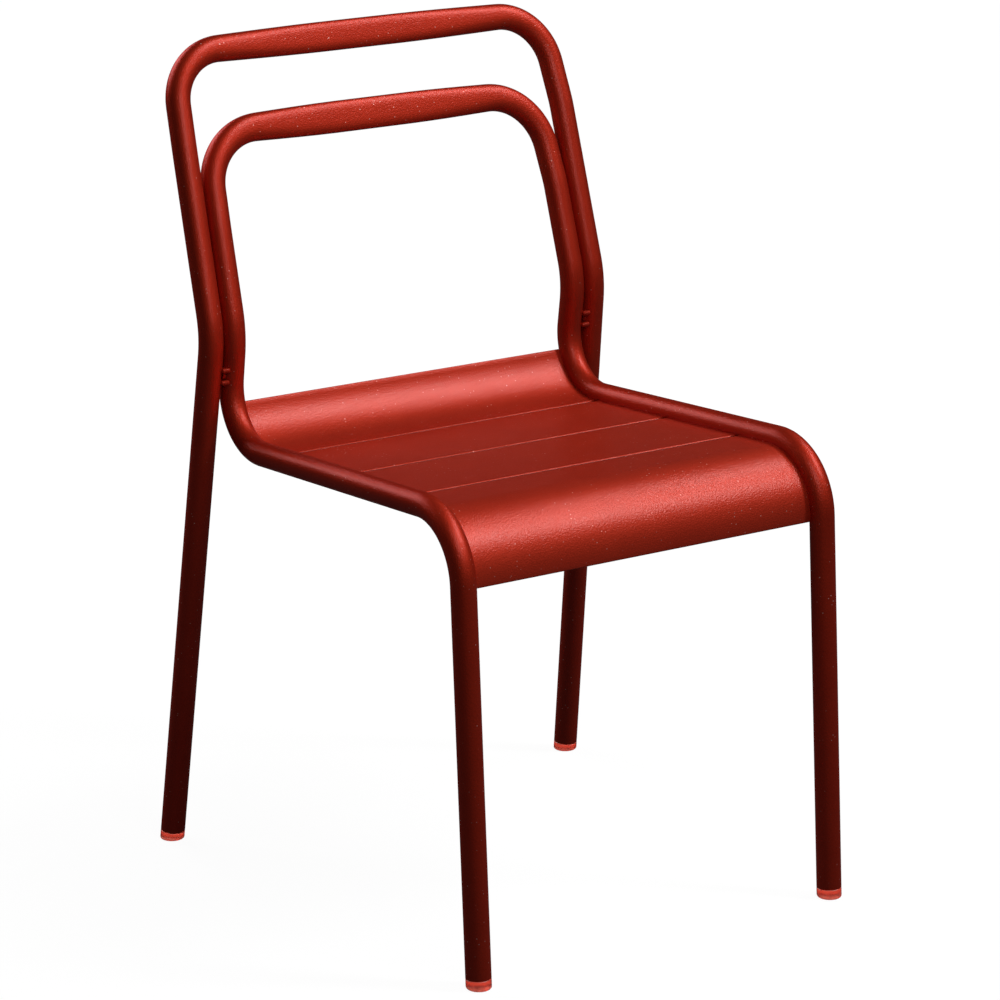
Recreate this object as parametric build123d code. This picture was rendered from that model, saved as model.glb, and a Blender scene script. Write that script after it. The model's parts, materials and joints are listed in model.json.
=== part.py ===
from build123d import *
import os
from math import cos, radians, sin, sqrt, tan

os.makedirs("parts", exist_ok=True)

# Frame tube
tube_diameter = 25.0
tube_wall = 2.0
upright_gap = 0.4

# Seat rails
seat_rear_y = 193.1
seat_length = 428.8
seat_front_height = 456.8
seat_fall = 3.64
seat_flare = 4.9
front_leg_lean = 3.6
front_bend_radius = 67.0
rear_bend_radius = 57.0

# Back, from the seat's rear bend up to the rails
riser_height = 116.5
riser_setback = 16.6
upright_rise = 179.0
lean_rise = 90.0
back_recline = 16.8
top_lean = 20.2
rail_step = 78.5
knee_radius = 100.0
shoulder_radius = 150.0
upper_corner_radius = 57.0
lower_corner_radius = 62.0

# Half widths of the outer frame
knee_half_width = 231.2
shoulder_inset = 4.2
upper_corner_inset = 6.3
lower_corner_inset = 6.5
rear_leg_splay = 17.2
rear_leg_rake = 7.5

# Pressed oval of both back rails, full at the middle and partly pressed where a bend begins
upper_oval_height = 30.4
lower_oval_height = 32.4
oval_thickness = 13.0
pressed_half_length = 40.0
bend_press_share = 0.36

# Seat slats
middle_slat_count = 2
slat_thickness = 2.5
slat_drop = 3.0
slat_gap = 2.5
slat_pitch = 118.5
slat_end_gap = 0.3
lip_depth = 9.0
lip_inner_radius = 0.55
lip_land = 0.5
edge_round_share = 0.44
rear_slat_turn = 71.3
slat_tail = 4.0

# Spacers between the frames
spacer_diameter = 15.0
spacer_below_knee = 40.5
spacer_seat_gap = 0.3

# Weld beads
bead_radius = 2.0
bead_gap = 0.3
slat_bead_length = 24.0
slat_bead_spacing = 64.0
bend_bead_start = 18.0
bend_bead_end = 44.0
upright_bead_length = 24.0
upright_bead_low = 0.38
upright_bead_high = 0.76
spacer_bead_length = 4.0
spacer_bead_spacing = 12.8

# Foot glides
glide_height = 10.0
glide_round = 2.5
shank_length = 22.0
shank_gap = 0.3
shank_ring_depth = 2.0
shank_ring_count = 4
shank_ring_width = 2.0

tube_radius = tube_diameter / 2
bore_radius = tube_radius - tube_wall
frame_pitch = tube_diameter + upright_gap
lip_radius = slat_thickness / 2 + lip_inner_radius


# Points along the frames, given for the right-hand side
def blend(low, high, share):
    return low + (high - low) * share


def rise(angle, height):
    """Step in the side view that climbs a height while leaning back by an angle."""
    return Vector(0, height * tan(radians(angle)), height)


seat_rear_half_width = knee_half_width - frame_pitch
front_half_width = seat_rear_half_width + seat_flare
seat_front_y = seat_rear_y - seat_length
seat_rear_height = seat_front_height - seat_length * tan(radians(seat_fall))
seat_rear = Vector(seat_rear_half_width, seat_rear_y, seat_rear_height)
seat_front = Vector(front_half_width, seat_front_y, seat_front_height)
front_foot = seat_front + rise(front_leg_lean, -seat_front_height)

inner_knee = seat_rear + Vector(0, -riser_setback, riser_height)
knee = inner_knee + Vector(frame_pitch, 0, 0)
knee_height = knee.Z
shoulder = knee + rise(back_recline, upright_rise) - Vector(shoulder_inset, 0, 0)
upper_corner = shoulder + rise(top_lean, lean_rise) - Vector(upper_corner_inset, 0, 0)
rear_foot = knee + rise(-rear_leg_rake, -knee_height) + Vector(rear_leg_splay, 0, 0)

inner_shoulder = inner_knee + (shoulder - knee) * (1 - rail_step / upright_rise)
inner_corner = inner_shoulder + rise(top_lean, lean_rise) - Vector(lower_corner_inset, 0, 0)


def mirrored(point):
    return Vector(-point.X, point.Y, point.Z)


def tube_end(foot, above):
    """Centre of the tube's cut end, one glide height up the leg from the floor."""
    return foot + (above - foot).normalized() * glide_height


# Paths
def bend(before, corner, after, radius):
    """Start, middle and end points of the arc that rounds one corner."""
    back = (before - corner).normalized()
    onward = (after - corner).normalized()
    half_turn = radians(180 - back.get_angle(onward)) / 2
    reach = radius * tan(half_turn)
    toward_centre = (back + onward).normalized()
    middle = corner + toward_centre * (radius / cos(half_turn) - radius)
    return corner + back * reach, middle, corner + onward * reach


def bent_path(points, radii):
    """Straight runs joined by arcs, one radius for each inner point."""
    edges = []
    last = points[0]
    for before, corner, after, radius in zip(points, points[1:], points[2:], radii):
        start, middle, end = bend(before, corner, after, radius)
        edges.append(Line(last, start))
        edges.append(ThreePointArc(start, middle, end))
        last = end
    edges.append(Line(last, points[-1]))
    return Wire([edge.edge() for edge in edges])


# Frame tubes
def ring(plane, height, thickness):
    """Skin and bore of an oval section: height along the plane's Y, thickness along its X."""
    skin = Ellipse(thickness / 2, height / 2)
    bore = Ellipse(thickness / 2 - tube_wall, height / 2 - tube_wall)
    return plane * skin, plane * bore


def round_tube(path):
    plane = Plane(origin=path @ 0, z_dir=path % 0)
    return sweep(plane * (Circle(tube_radius) - Circle(bore_radius)), path=path)


def part_pressed_ring(plane, oval_height):
    """Section where the rail meets its bend, between round and fully pressed."""
    height = blend(tube_diameter, oval_height, bend_press_share)
    thickness = blend(tube_diameter, oval_thickness, bend_press_share)
    return ring(plane, height, thickness)


def pressed_bend(start, middle, end, across, oval_height):
    """Upper bend of one side: round where it leaves the upright, partly pressed where it meets the rail."""
    path = Wire([ThreePointArc(start, middle, end).edge()])
    round_plane = Plane(origin=start, x_dir=across, z_dir=path % 0)
    oval_plane = Plane(origin=end, x_dir=across, z_dir=path % 1)
    round_skin, round_bore = ring(round_plane, tube_diameter, tube_diameter)
    oval_skin, oval_bore = part_pressed_ring(oval_plane, oval_height)
    skin = sweep([round_skin, oval_skin], path=path, multisection=True)
    bore = sweep([round_bore, oval_bore], path=path, multisection=True)
    return skin - bore


def pressed_rail(end, across, oval_height):
    """Half of the straight rail: pressed more and more from the bend, then even to the middle of the chair."""
    inward = Vector(-1, 0, 0)
    bend_plane = Plane(origin=end, x_dir=across, z_dir=inward)
    even_plane = Plane(origin=(pressed_half_length, end.Y, end.Z), x_dir=across, z_dir=inward)
    part_skin, part_bore = part_pressed_ring(bend_plane, oval_height)
    oval_skin, oval_bore = ring(even_plane, oval_height, oval_thickness)
    swelling = loft([part_skin, oval_skin]) - loft([part_bore, oval_bore])
    return swelling + extrude(oval_skin - oval_bore, amount=pressed_half_length, dir=inward)


def frame_tube(points, radii, corner_radius, oval_height):
    """Hoop made of two equal sides; the last two points are the shoulder and the upper corner."""
    shoulder_point, corner = points[-2:]
    start, middle, end = bend(shoulder_point, corner, mirrored(corner), corner_radius)
    across = Vector(1, 0, 0).cross(corner - shoulder_point).normalized()
    side = round_tube(bent_path(points[:-1] + [start], radii))
    half = side + pressed_bend(start, middle, end, across, oval_height) + pressed_rail(end, across, oval_height)
    return half + mirror(half, about=Plane.YZ)


def outer_frame():
    points = [tube_end(rear_foot, knee), knee, shoulder, upper_corner]
    return frame_tube(points, [knee_radius, shoulder_radius], upper_corner_radius, upper_oval_height)


def inner_frame():
    points = [tube_end(front_foot, seat_front), seat_front, seat_rear, inner_knee, inner_shoulder, inner_corner]
    radii = [front_bend_radius, rear_bend_radius, knee_radius, shoulder_radius]
    return frame_tube(points, radii, lower_corner_radius, lower_oval_height)


# Seat slats, drawn along the middle of the chair in side view
rail_slope = radians(seat_fall)
forward = Vector(0, -cos(rail_slope), sin(rail_slope))
down = Vector(0, -sin(rail_slope), -cos(rail_slope))
sheet_depth = slat_drop + slat_thickness / 2
lip_bottom = slat_drop + lip_depth
lip_inset = slat_gap / 2 + slat_thickness / 2
rear_gap_place = lip_inset + lip_radius + lip_land


def in_side_view(point):
    return Vector(0, point.Y, point.Z)


side_points = [in_side_view(point) for point in (inner_knee, seat_rear, seat_front, front_foot)]
rear_tangent = bend(side_points[0], side_points[1], side_points[2], rear_bend_radius)[2]
front_tangent = bend(side_points[1], side_points[2], side_points[3], front_bend_radius)[0]
rear_centre = rear_tangent - down * rear_bend_radius
front_centre = front_tangent + down * front_bend_radius


def on_rail(distance, depth):
    """Point at a distance forward of the rear bend and a depth under the rail's centre line."""
    return rear_tangent + forward * distance + down * depth


def rail_half_width(point_y):
    """Distance of a seat rail's centre line from the middle of the chair."""
    share = (seat_rear_y - point_y) / (seat_rear_y - seat_front_y)
    return blend(seat_rear_half_width, front_half_width, share)


def seat_span():
    """Block that fills the clear width between the two seat rails."""
    reach = sqrt(tube_radius**2 - slat_drop**2) + slat_end_gap
    rear_y = seat_rear_y + tube_diameter
    front_y = seat_front_y - tube_diameter
    rear_x = rail_half_width(rear_y) - reach
    front_x = rail_half_width(front_y) - reach
    outline = Polyline((-rear_x, rear_y), (rear_x, rear_y), (front_x, front_y), (-front_x, front_y), close=True)
    return extrude(make_face(outline), amount=knee_height)


def bent_sheet(points, radii):
    """Sheet of the slat thickness bent along a side-view line and trimmed between the rails."""
    path = bent_path(points, radii)
    plane = Plane(origin=path @ 0, x_dir=(1, 0, 0), z_dir=path % 0)
    blank = sweep(plane * Rectangle(2 * front_half_width, slat_thickness), path=path)
    tip_edges = blank.edges().filter_by(Axis.X).sort_by_distance(path @ 1)[:2]
    return fillet(tip_edges, slat_thickness * edge_round_share) & seat_span()


def rear_slat():
    """Slat that curves up the rear bends, folded down at its front edge."""
    edge = rear_gap_place - lip_inset
    radius = rear_bend_radius + sheet_depth
    turn = radians(rear_slat_turn)
    reach = radius * tan(turn / 2)
    corner = on_rail(-reach, sheet_depth)
    upward = -forward * cos(turn) - down * sin(turn)
    tip = corner + upward * (reach + slat_tail)
    return bent_sheet([on_rail(edge, lip_bottom), on_rail(edge, sheet_depth), corner, tip], [lip_radius, radius])


def middle_slat(index):
    """Flat slat, folded down along both edges."""
    rear_edge = rear_gap_place + index * slat_pitch + lip_inset
    front_edge = rear_gap_place + (index + 1) * slat_pitch - lip_inset
    points = [on_rail(rear_edge, lip_bottom), on_rail(rear_edge, sheet_depth)]
    points += [on_rail(front_edge, sheet_depth), on_rail(front_edge, lip_bottom)]
    return bent_sheet(points, [lip_radius, lip_radius])


def front_slat():
    """Slat that turns down over the front bends, folded down at its rear edge."""
    edge = rear_gap_place + middle_slat_count * slat_pitch + lip_inset
    radius = front_bend_radius - sheet_depth
    start = front_tangent + down * sheet_depth
    leg_down = (side_points[3] - side_points[2]).normalized()
    reach = radius * tan(radians(forward.get_angle(leg_down)) / 2)
    corner = start + forward * reach
    tip = corner + leg_down * (reach + slat_tail)
    return bent_sheet([on_rail(edge, lip_bottom), on_rail(edge, sheet_depth), corner, tip], [lip_radius, radius])


# Spacers that hold the outer frame beside the inner frame under the knees
def rod(start, end, radius):
    plane = Plane(origin=start, z_dir=end - start)
    return plane * Cylinder(radius, (end - start).length, align=(Align.CENTER, Align.CENTER, Align.MIN))


def at_height(low, high, height):
    return low + (high - low) * ((height - low.Z) / (high.Z - low.Z))


def spacer():
    """Short round pin with both ends hollowed to sit against the tubes."""
    height = knee_height - spacer_below_knee
    inner_point = at_height(seat_rear, inner_knee, height)
    outer_point = at_height(rear_foot, knee, height)
    pin = rod(inner_point, outer_point, spacer_diameter / 2)
    seat_radius = tube_radius + spacer_seat_gap
    return pin - rod(seat_rear, inner_knee, seat_radius) - rod(rear_foot, knee, seat_radius)


# Weld beads
bead_reach_from_tube = tube_radius + bead_gap + bead_radius
bead_depth = slat_drop + slat_thickness + bead_gap + bead_radius
bead_reach = sqrt(bead_reach_from_tube**2 - bead_depth**2)


def bead(path):
    plane = Plane(origin=path @ 0, z_dir=path % 0)
    body = sweep(plane * Circle(bead_radius), path=path)
    for end in (0, 1):
        body += Pos(path @ end) * Sphere(bead_radius)
    return body


def seat_bead(points):
    """Bead under a slat end along side-view points, set against the right-hand seat rail."""
    placed = [point + Vector(rail_half_width(point.Y) - bead_reach, 0, 0) for point in points]
    line = Line(*placed) if len(placed) == 2 else ThreePointArc(*placed)
    return bead(line)


def flat_slat_beads():
    beads = []
    for index in range(middle_slat_count):
        middle = rear_gap_place + (index + 0.5) * slat_pitch
        for side in (-1, 1):
            place = middle + side * slat_bead_spacing / 2
            ends = (place - slat_bead_length / 2, place + slat_bead_length / 2)
            beads.append(seat_bead([on_rail(end, bead_depth) for end in ends]))
    return beads


def bend_slat_beads():
    """Curved beads under the front and rear slats, following the rail bends."""
    angles = (bend_bead_start, (bend_bead_start + bend_bead_end) / 2, bend_bead_end)
    rear_points = []
    front_points = []
    for turn in [radians(angle) for angle in angles]:
        rear_arm = down * cos(turn) - forward * sin(turn)
        front_arm = forward * sin(turn) - down * cos(turn)
        rear_points.append(rear_centre + rear_arm * (rear_bend_radius + bead_depth))
        front_points.append(front_centre + front_arm * (front_bend_radius - bead_depth))
    return [seat_bead(rear_points), seat_bead(front_points)]


def valley(inner_point, outer_point, outward):
    """Centre of a bead resting in the valley between two tubes, on the side given."""
    half_apart = (outer_point - inner_point).length / 2
    out = sqrt(max(bead_reach_from_tube**2 - half_apart**2, 0))
    return (inner_point + outer_point) / 2 + outward * out


def upright_welds():
    """Beads behind the right-hand uprights, where the two frames lie side by side."""
    upright = (inner_shoulder - inner_knee).normalized()
    rearward = Vector(1, 0, 0).cross(upright).normalized() * -1
    beads = []
    for share in (upright_bead_low, upright_bead_high):
        middle = inner_knee + (inner_shoulder - inner_knee) * share
        centre = valley(middle, middle + Vector(frame_pitch, 0, 0), rearward)
        half = upright * (upright_bead_length / 2)
        beads.append(bead(Line(centre - half, centre + half)))
    return beads


def spacer_welds():
    """Beads across the top and the bottom of the right-hand spacer, on the side facing the sitter."""
    riser = (inner_knee - seat_rear).normalized()
    frontward = Vector(1, 0, 0).cross(riser)
    half = Vector(spacer_bead_length / 2, 0, 0)
    beads = []
    for side in (-1, 1):
        height = knee_height - spacer_below_knee + side * spacer_bead_spacing / 2
        inner_point = at_height(seat_rear, inner_knee, height)
        outer_point = at_height(rear_foot, knee, height)
        centre = valley(inner_point + half, outer_point - half, frontward)
        beads.append(bead(Line(centre - half, centre + half)))
    return beads


# Foot glides
def glide(foot, above):
    """Plug pushed into one leg end: a rounded foot cut level with the floor and a ringed shank."""
    leg = Plane(origin=foot, z_dir=above - foot)
    upward = (Align.CENTER, Align.CENTER, Align.MIN)
    ring_radius = bore_radius - shank_gap
    ring_pitch = shank_length / shank_ring_count
    body = leg * Pos(0, 0, -tube_radius) * Cylinder(tube_radius, glide_height + tube_radius, align=upward)
    above_floor = Pos(foot.X, foot.Y, 0) * Box(2 * tube_diameter, 2 * tube_diameter, 2 * glide_height, align=upward)
    body = body & above_floor
    body = fillet(body.edges().group_by(Axis.Z)[0], glide_round)
    body += leg * Pos(0, 0, glide_height) * Cylinder(ring_radius - shank_ring_depth, shank_length, align=upward)
    for index in range(shank_ring_count):
        place = glide_height + (index + 1) * ring_pitch - shank_ring_width
        body += leg * Pos(0, 0, place) * Cylinder(ring_radius, shank_ring_width, align=upward)
    return body


# Assembly, with the middle of the whole depth brought to the origin
def other_side(shape):
    return mirror(shape, about=Plane.YZ)


def group(shapes):
    return Compound([shape.solid() for shape in shapes])


def assemble():
    right_slat_welds = flat_slat_beads() + bend_slat_beads()
    right_upright_welds = upright_welds()
    right_spacer_welds = spacer_welds()
    right_spacer = spacer()
    right_front_glide = glide(front_foot, seat_front)
    right_rear_glide = glide(rear_foot, knee)
    return {
        "outer_frame": outer_frame(),
        "inner_frame": inner_frame(),
        "slat_rear": rear_slat(),
        "slat_middle_rear": middle_slat(0),
        "slat_middle_front": middle_slat(1),
        "slat_front": front_slat(),
        "spacer_left": other_side(right_spacer),
        "spacer_right": right_spacer,
        "glide_front_left": other_side(right_front_glide),
        "glide_front_right": right_front_glide,
        "glide_rear_left": other_side(right_rear_glide),
        "glide_rear_right": right_rear_glide,
        "slat_welds_left": group([other_side(shape) for shape in right_slat_welds]),
        "slat_welds_right": group(right_slat_welds),
        "upright_welds_left": group([other_side(shape) for shape in right_upright_welds]),
        "upright_welds_right": group(right_upright_welds),
        "spacer_welds_left": group([other_side(shape) for shape in right_spacer_welds]),
        "spacer_welds_right": group(right_spacer_welds),
    }


def main():
    nodes = assemble()
    boxes = [shape.bounding_box() for shape in nodes.values()]
    middle_y = (min(box.min.Y for box in boxes) + max(box.max.Y for box in boxes)) / 2
    for name, shape in nodes.items():
        export_step(Pos(0, -middle_y, 0) * shape, f"parts/{name}.step")


main()
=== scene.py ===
"""Stacking garden chair of bent aluminium tube with a slatted sheet seat, powder coated red.

Lengths are in metres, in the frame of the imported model: +Z is up and a sitter faces -Y. Sizes that
are angles are in degrees.
"""

import json
import logging
import math
from collections.abc import Iterable, Iterator, Sequence
from dataclasses import dataclass
from enum import Enum

import bmesh
import bpy
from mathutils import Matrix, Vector


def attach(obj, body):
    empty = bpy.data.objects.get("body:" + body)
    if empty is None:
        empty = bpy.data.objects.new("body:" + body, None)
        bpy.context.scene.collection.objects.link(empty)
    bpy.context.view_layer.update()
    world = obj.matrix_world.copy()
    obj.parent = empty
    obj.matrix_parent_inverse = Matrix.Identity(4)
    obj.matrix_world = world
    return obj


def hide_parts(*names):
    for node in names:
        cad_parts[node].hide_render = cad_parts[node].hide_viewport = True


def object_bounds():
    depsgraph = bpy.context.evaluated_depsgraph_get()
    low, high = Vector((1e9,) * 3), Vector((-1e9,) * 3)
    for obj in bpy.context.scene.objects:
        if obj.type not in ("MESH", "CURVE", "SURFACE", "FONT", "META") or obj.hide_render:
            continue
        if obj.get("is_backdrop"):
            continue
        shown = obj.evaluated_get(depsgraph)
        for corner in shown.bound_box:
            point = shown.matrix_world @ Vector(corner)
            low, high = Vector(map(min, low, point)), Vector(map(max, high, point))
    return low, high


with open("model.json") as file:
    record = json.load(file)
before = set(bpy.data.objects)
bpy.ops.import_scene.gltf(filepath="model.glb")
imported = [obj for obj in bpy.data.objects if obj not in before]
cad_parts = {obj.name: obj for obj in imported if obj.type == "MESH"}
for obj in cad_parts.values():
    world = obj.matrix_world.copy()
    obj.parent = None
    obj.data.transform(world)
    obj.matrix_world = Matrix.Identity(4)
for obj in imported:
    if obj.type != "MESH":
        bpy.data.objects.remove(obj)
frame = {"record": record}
cad_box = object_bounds()

LOG = logging.getLogger("chair")
MM = 0.001
BODY = "root"
X_AXIS = Vector((1.0, 0.0, 0.0))
WHITE = "#FFFFFF"
# Power of an oval that is a plain ellipse
ELLIPSE = 2.0
# Turn between two faces from which their edge stays hard
SHARP_EDGE = math.radians(42)
# Depth of a point in a gap between two slats, from zero to one, by which the coat paints shade
PAINTED_GAP_SHADE_ATTRIBUTE = "painted_gap_shade"
# Sockets of a colour mix by number, because its other modes have sockets of the same names
MIX_SHARE, MIX_UNDER, MIX_OVER, MIX_RESULT = 0, 6, 7, 2

Axes = tuple[Vector, Vector]
Ring = list[Vector]


class Side(Enum):
    """Half of the chair, valued by the sign of X there."""

    LEFT = -1
    RIGHT = 1

    def place(self, points: Iterable[Vector]) -> list[Vector]:
        """Points of the right-hand half, moved to this side."""
        return [Vector((point.x * self.value, point.y, point.z)) for point in points]


class Slot(Enum):
    """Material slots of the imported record."""

    FRAME = "powder_coat"
    WELD = "weld_coat"
    GLIDE = "glide_plastic"


# Shader helpers
def srgb(hex_colour: str) -> tuple[float, float, float, float]:
    """Turn an sRGB hex colour to linear light.

    Args:
        hex_colour: A hash sign and six hex digits.

    Returns:
        Linear red, green and blue, and an alpha of one.
    """
    channels = [int(hex_colour[place : place + 2], 16) / 255 for place in (1, 3, 5)]
    linear = [c / 12.92 if c <= 0.04045 else ((c + 0.055) / 1.055) ** 2.4 for c in channels]
    return (*linear, 1.0)


class ShaderNodes:
    """Shader nodes of a material or a world, which starts empty."""

    def __init__(self, owner: bpy.types.Material | bpy.types.World) -> None:
        """Take over the owner's node tree."""
        owner.use_nodes = True
        self.tree = owner.node_tree
        self.tree.nodes.clear()

    def add(self, kind: str, inputs: dict | None = None, **settings: object) -> bpy.types.Node:
        """Add one node, with its settings and its links.

        Args:
            kind: Blender's type name of the node, less the ShaderNode before it.
            inputs: Value or output socket for each input, by the input's name or number.
            **settings: Properties of the node, such as operation.

        Returns:
            The new node.
        """
        node = self.tree.nodes.new(f"ShaderNode{kind}")
        for name, value in settings.items():
            setattr(node, name, value)
        for name, value in (inputs or {}).items():
            if isinstance(value, bpy.types.NodeSocket):
                self.tree.links.new(value, node.inputs[name])
            else:
                node.inputs[name].default_value = value
        return node


# Finishes
@dataclass(frozen=True)
class PowderCoat:
    """Polyester powder with metal flake, sprayed on aluminium and baked.

    The flake lights up where the surface turns to the lamp and goes dark where it turns away. The
    film over it flows into a satin skin with a fine orange peel. The colour drifts a little with
    the film's thickness. Single flakes show as light dots, which are painted glints. Deep in the
    gaps between slats the colour darkens nearly to black and loses its film: painted shade.
    """

    name: str = "polyester_powder_coat_metallic_satin"
    thin_colour: str = "#AC2A17"
    full_colour: str = "#C63820"
    # Painted shade deep in the gaps between slats
    painted_gap_shade_colour: str = "#2A0A06"
    # Colour of the painted glints of single flakes
    painted_glint_colour: str = "#FFD0C6"
    gloss_tint: str = "#FF9080"
    gloss_level: float = 0.2
    flake_share: float = 0.65
    roughness: float = 0.56
    roughness_swing: float = 0.05
    film_weight: float = 0.42
    film_roughness: float = 0.27
    film_ior: float = 1.5
    has_painted_gap_shade: bool = False
    drift_size: float = 70 * MM
    drift_octaves: float = 6.0
    drift_mottle: float = 0.78
    # Real orange peel is about half as wide and much shallower. It is drawn a pixel or two wide,
    # and as deep as it needs to show.
    peel_size: float = 1.4 * MM
    peel_octaves: float = 1.0
    peel_depth: float = 0.27 * MM
    # Real flakes are much smaller. Their glints are painted as light dots in the colour, drawn
    # coarse enough for single ones to show.
    glint_spacing: float = 6 * MM
    glint_size: float = 1.4 * MM
    # Values of the drift where the painted flake glints begin to show, and where they show in full
    glint_start: float = 0.45
    glint_full: float = 0.65

    def material(self) -> bpy.types.Material:
        """Make the coat's material.

        Returns:
            A procedural material that follows each piece's own coordinates.
        """
        material = bpy.data.materials.new(self.name)
        nodes = ShaderNodes(material)
        spot = nodes.add("TexCoord").outputs["Object"]
        drift = nodes.add(
            "TexNoise",
            {
                "Vector": spot,
                "Scale": 1 / self.drift_size,
                "Detail": self.drift_octaves,
                "Roughness": self.drift_mottle,
            },
        ).outputs["Fac"]
        peel = nodes.add(
            "TexNoise", {"Vector": spot, "Scale": 1 / self.peel_size, "Detail": self.peel_octaves}
        ).outputs["Fac"]
        # Painted glints: light dots in the colour where single flakes would catch a lamp, in patches
        # of the drift.
        cells = nodes.add("TexVoronoi", {"Vector": spot, "Scale": 1 / self.glint_spacing})
        rim = self.glint_size / 2 / self.glint_spacing
        glint_dots = nodes.add(
            "MapRange", {"Value": cells.outputs["Distance"], "From Min": rim, "From Max": rim / 2}
        ).outputs["Result"]
        glint_patch = nodes.add(
            "MapRange", {"Value": drift, "From Min": self.glint_start, "From Max": self.glint_full}
        ).outputs["Result"]
        painted_glint = nodes.add("Math", {0: glint_dots, 1: glint_patch}, operation="MULTIPLY").outputs["Value"]
        layers = [(drift, self.full_colour), (painted_glint, self.painted_glint_colour)]
        film_weight = self.film_weight
        # Painted shade: deep in the gaps between slats the colour goes nearly black and the film is
        # taken off.
        if self.has_painted_gap_shade:
            painted_gap_shade = nodes.add("Attribute", attribute_name=PAINTED_GAP_SHADE_ATTRIBUTE).outputs["Fac"]
            layers.insert(1, (painted_gap_shade, self.painted_gap_shade_colour))
            film_weight = nodes.add(
                "MapRange", {"Value": painted_gap_shade, "To Min": self.film_weight, "To Max": 0.0}
            ).outputs["Result"]
        colour = srgb(self.thin_colour)
        for share, over in layers:
            mixed = {MIX_SHARE: share, MIX_UNDER: colour, MIX_OVER: srgb(over)}
            colour = nodes.add("Mix", mixed, data_type="RGBA").outputs[MIX_RESULT]
        low, high = self.roughness - self.roughness_swing, self.roughness + self.roughness_swing
        roughness = nodes.add("MapRange", {"Value": peel, "To Min": low, "To Max": high})
        bump = nodes.add("Bump", {"Height": peel, "Distance": self.peel_depth}).outputs["Normal"]
        skin = nodes.add(
            "BsdfPrincipled",
            {
                "Base Color": colour,
                "Roughness": roughness.outputs["Result"],
                "Normal": bump,
                "Metallic": self.flake_share,
                "Specular IOR Level": self.gloss_level,
                "Specular Tint": srgb(self.gloss_tint),
                "Coat Weight": film_weight,
                "Coat Roughness": self.film_roughness,
                "Coat IOR": self.film_ior,
                "Coat Normal": bump,
            },
        )
        nodes.add("OutputMaterial", {"Surface": skin.outputs["BSDF"]})
        return material


@dataclass(frozen=True)
class GlidePlastic:
    """Polyethylene, injection moulded in a polished mould and coloured through.

    It is clearer and glossier than the coat, lets a little light through, and carries faint flow
    marks.
    """

    name: str = "polyethylene_moulded_glossy"
    shade_colour: str = "#E83E2E"
    light_colour: str = "#F65C44"
    roughness: float = 0.3
    ior: float = 1.51
    clear_share: float = 0.8
    glow_weight: float = 0.4
    glow_depth: float = 4 * MM
    glow_colours: tuple[float, float, float] = (1.0, 0.22, 0.16)
    flow_size: float = 6 * MM
    flow_octaves: float = 2.0
    flow_depth: float = 0.05 * MM

    def material(self) -> bpy.types.Material:
        """Make the plastic's material.

        Returns:
            A procedural material that follows each piece's own coordinates.
        """
        material = bpy.data.materials.new(self.name)
        nodes = ShaderNodes(material)
        spot = nodes.add("TexCoord").outputs["Object"]
        flow = nodes.add(
            "TexNoise", {"Vector": spot, "Scale": 1 / self.flow_size, "Detail": self.flow_octaves}
        ).outputs["Fac"]
        shade, light = srgb(self.shade_colour), srgb(self.light_colour)
        mixed = {MIX_SHARE: flow, MIX_UNDER: shade, MIX_OVER: light}
        colour = nodes.add("Mix", mixed, data_type="RGBA").outputs[MIX_RESULT]
        bump = nodes.add("Bump", {"Height": flow, "Distance": self.flow_depth}).outputs["Normal"]
        skin = nodes.add(
            "BsdfPrincipled",
            {
                "Base Color": colour,
                "Roughness": self.roughness,
                "IOR": self.ior,
                "Normal": bump,
                "Transmission Weight": self.clear_share,
                "Subsurface Weight": self.glow_weight,
                "Subsurface Radius": self.glow_colours,
                "Subsurface Scale": self.glow_depth,
            },
        )
        nodes.add("OutputMaterial", {"Surface": skin.outputs["BSDF"]})
        return material


# Geometry helpers
@dataclass(frozen=True)
class Station:
    """One place along a bent line: the point, the heading there and the run so far."""

    place: Vector
    heading: Vector
    run: float


@dataclass(frozen=True)
class Bend:
    """Arc that rounds one corner of a bent line."""

    corner: Vector
    back: Vector
    onward: Vector
    radius: float

    @classmethod
    def between(cls, before: Vector, corner: Vector, after: Vector, radius: float) -> "Bend":
        """Bend at a corner, from its two neighbours."""
        return cls(corner, (before - corner).normalized(), (after - corner).normalized(), radius)

    @property
    def turn(self) -> float:
        """Angle that the line turns by."""
        return math.pi - self.back.angle(self.onward)

    @property
    def reach(self) -> float:
        """Distance from the corner to either end of the arc."""
        return self.radius * math.tan(self.turn / 2)

    @property
    def start(self) -> Vector:
        """First point of the arc."""
        return self.corner + self.back * self.reach

    @property
    def end(self) -> Vector:
        """Last point of the arc."""
        return self.corner + self.onward * self.reach

    def along(self, share: float) -> tuple[Vector, Vector]:
        """Point and heading at a share of the arc.

        Args:
            share: Zero at the start and one at the end.

        Returns:
            The point on the arc and the unit heading there.
        """
        inward = (self.back + self.onward).normalized()
        centre = self.corner + inward * (self.radius / math.cos(self.turn / 2))
        heading = -self.back
        sideways = (self.start - centre) / -self.radius
        angle = self.turn * share
        swung = heading * math.cos(angle) + sideways * math.sin(angle)
        place = centre + (heading * math.sin(angle) - sideways * math.cos(angle)) * self.radius
        return place, swung


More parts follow.
